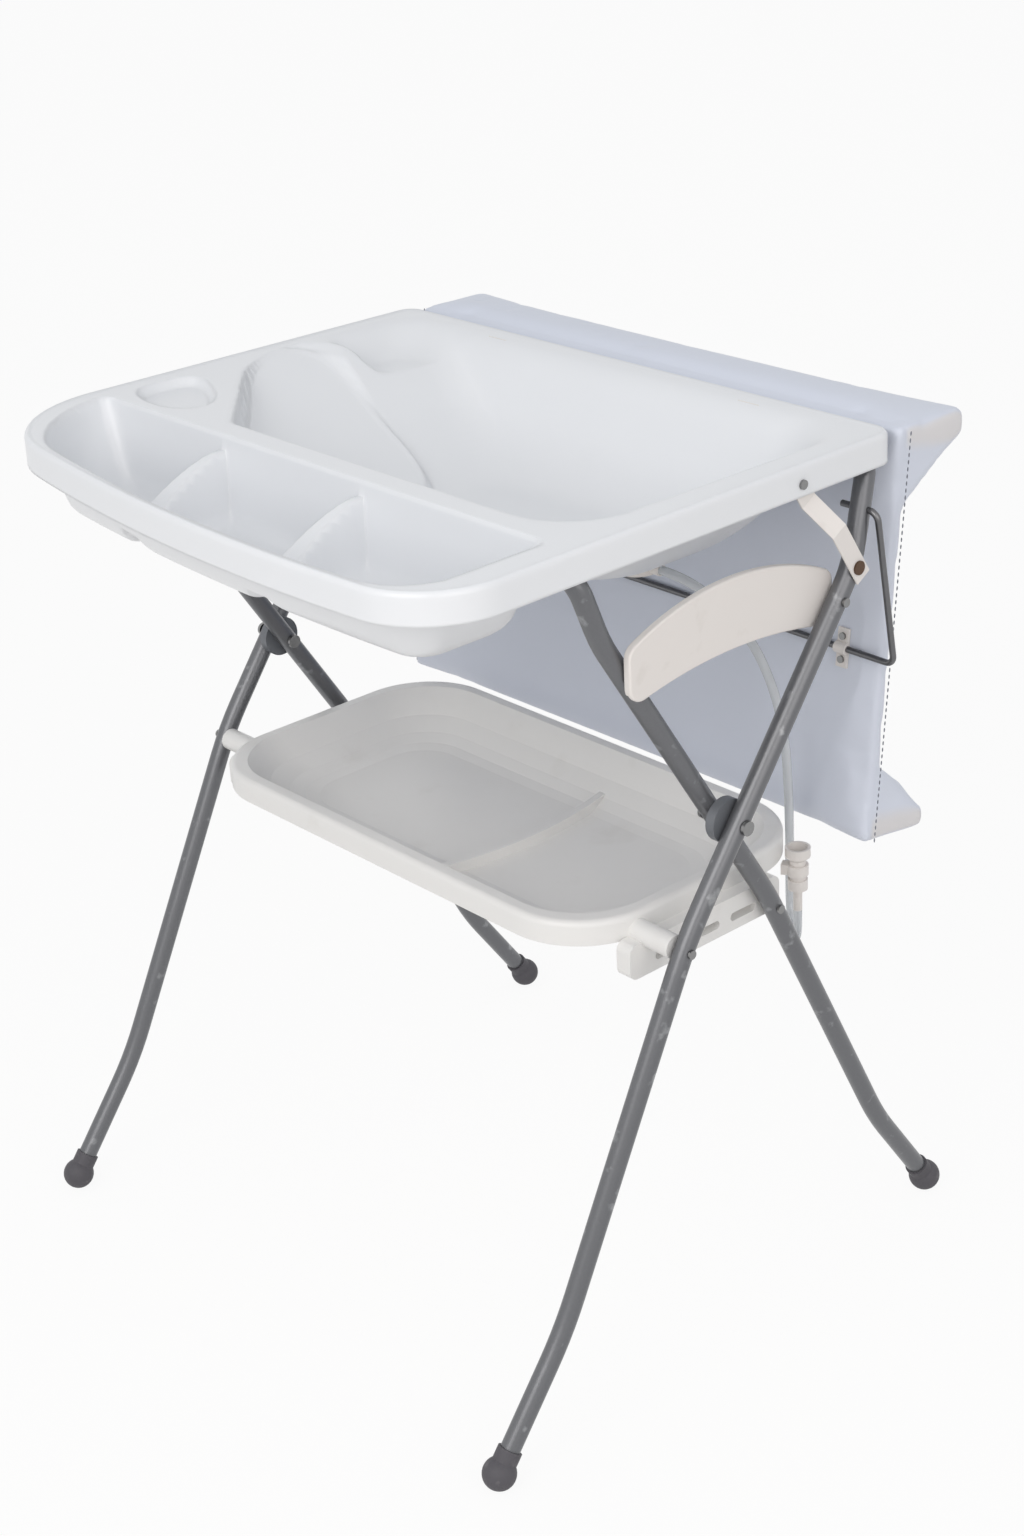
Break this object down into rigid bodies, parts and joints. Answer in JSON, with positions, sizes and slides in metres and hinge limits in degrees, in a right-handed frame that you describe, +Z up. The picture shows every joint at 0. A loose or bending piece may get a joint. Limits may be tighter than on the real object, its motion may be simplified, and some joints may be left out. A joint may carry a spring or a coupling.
{
  "type": "folding changing table with baby bath",
  "caption": "Folding baby changing table: moulded bathtub with front compartments on a scissor tube frame, storage tray, and padded panel hung behind on a wire bail.",
  "frame": {"origin": "on the floor, under the middle of the whole table", "axes": "+Z up, -Y towards the person who uses it (the bowed front of the tub), +X towards the drain and hose side"},
  "size_m": [0.8209, 0.7744, 0.9892],
  "materials": {
    "frame_tube": "satin silver-grey paint",
    "foot_rubber": "matt",
    "hub_plastic": "satin",
    "fastener": "zinc plated",
    "white_trim": "satin",
    "tub_plastic": "glossy moulding",
    "strap": "white paint",
    "rivet": "dark bronze",
    "drain_seal": "matt",
    "hose": "cloudy clear",
    "hose_end": "satin",
    "pad_vinyl": "smooth wipe-clean vinyl",
    "bolster_vinyl": "smooth wipe-clean vinyl",
    "board": "raw",
    "bail_wire": "bare steel"
  },
  "bodies": {
    "outer_frame": {"outer_leg_right": "frame_tube", "outer_leg_left": "frame_tube", "rear_crossbar": "frame_tube", "outer_feet": "foot_rubber", "pivot_hubs": "hub_plastic", "pivot_bolts": "fastener", "brace_screws": "fastener", "tray_screws_outer": "fastener", "drain_hose": "hose"},
    "inner_frame": {"inner_leg_right": "frame_tube", "inner_leg_left": "frame_tube", "front_crossbar": "frame_tube", "inner_feet": "foot_rubber", "brace_pegs": "fastener", "tray_screws_inner": "fastener"},
    "tub": {"tub_shell": "tub_plastic", "tub_saddles": "white_trim", "skirt_screws": "fastener", "drain_outlet": "white_trim"},
    "plug": {"drain_plug": "drain_seal"},
    "right_strap": {"strap_right": "strap", "strap_rivet_right": "rivet"},
    "left_strap": {"strap_left": "strap", "strap_rivet_left": "rivet"},
    "right_brace": {"brace_right": "white_trim"},
    "left_brace": {"brace_left": "white_trim"},
    "tray": {"tray": "tub_plastic", "hose_clip": "white_trim", "hose_connector": "hose_end"},
    "bail": {"bail": "bail_wire"},
    "pad": {"pad_panel": "pad_vinyl", "pad_board": "board", "bolster_top": "bolster_vinyl", "bolster_bottom": "bolster_vinyl", "rod_clips": "white_trim", "clip_screws": "fastener"}
  },
  "joints": [
    {"name": "fold", "type": "hinge", "parent": "outer_frame", "child": "inner_frame", "pos_m": [0, 0.0145, 0.63], "axis": [-1, 0, 0], "range_deg": [0, 54], "deforming": ["drain_hose"]},
    {"name": "tub_tilt", "type": "hinge", "parent": "outer_frame", "child": "tub", "pos_m": [0, 0.2445, 0.962], "axis": [-1, 0, 0], "range_deg": [0, 100]},
    {"name": "tray_fold", "type": "hinge", "parent": "outer_frame", "child": "tray", "pos_m": [0, -0.06738, 0.517], "axis": [-1, 0, 0], "range_deg": [0, 61.5]},
    {"name": "right_brace_lift", "type": "hinge", "parent": "outer_frame", "child": "right_brace", "pos_m": [0.375, 0.1633, 0.83], "axis": [-1, 0, 0], "range_deg": [0, 44]},
    {"name": "left_brace_lift", "type": "hinge", "parent": "outer_frame", "child": "left_brace", "pos_m": [-0.375, 0.1633, 0.83], "axis": [-1, 0, 0], "range_deg": [0, 44]},
    {"name": "right_strap_swing", "type": "hinge", "parent": "tub", "child": "right_strap", "pos_m": [0.38258, 0.1175, 0.964], "axis": [-1, 0, 0], "range_deg": [0, 60]},
    {"name": "left_strap_swing", "type": "hinge", "parent": "tub", "child": "left_strap", "pos_m": [-0.38258, 0.1175, 0.964], "axis": [-1, 0, 0], "range_deg": [0, 60]},
    {"name": "plug_lift", "type": "slide", "parent": "tub", "child": "plug", "axis": [0, 0, 1], "range_m": [0, 0.02]},
    {"name": "bail_swing", "type": "hinge", "parent": "outer_frame", "child": "bail", "pos_m": [0, 0.21506, 0.911], "axis": [-1, 0, 0], "range_deg": [-234.3, 0]},
    {"name": "pad_hinge", "type": "hinge", "parent": "bail", "child": "pad", "pos_m": [0, 0.24476, 0.73442], "axis": [1, 0, 0], "range_deg": [-139, 0]}
  ],
  "couplings": [
    {"joint": "tub_tilt", "follows": "fold", "ratio": 1.85},
    {"joint": "tray_fold", "follows": "fold", "ratio": 1.13},
    {"joint": "right_brace_lift", "follows": "fold", "ratio": 0.8},
    {"joint": "left_brace_lift", "follows": "fold", "ratio": 0.8},
    {"joint": "pad_hinge", "follows": "bail_swing", "ratio": 0.58927}
  ]
}
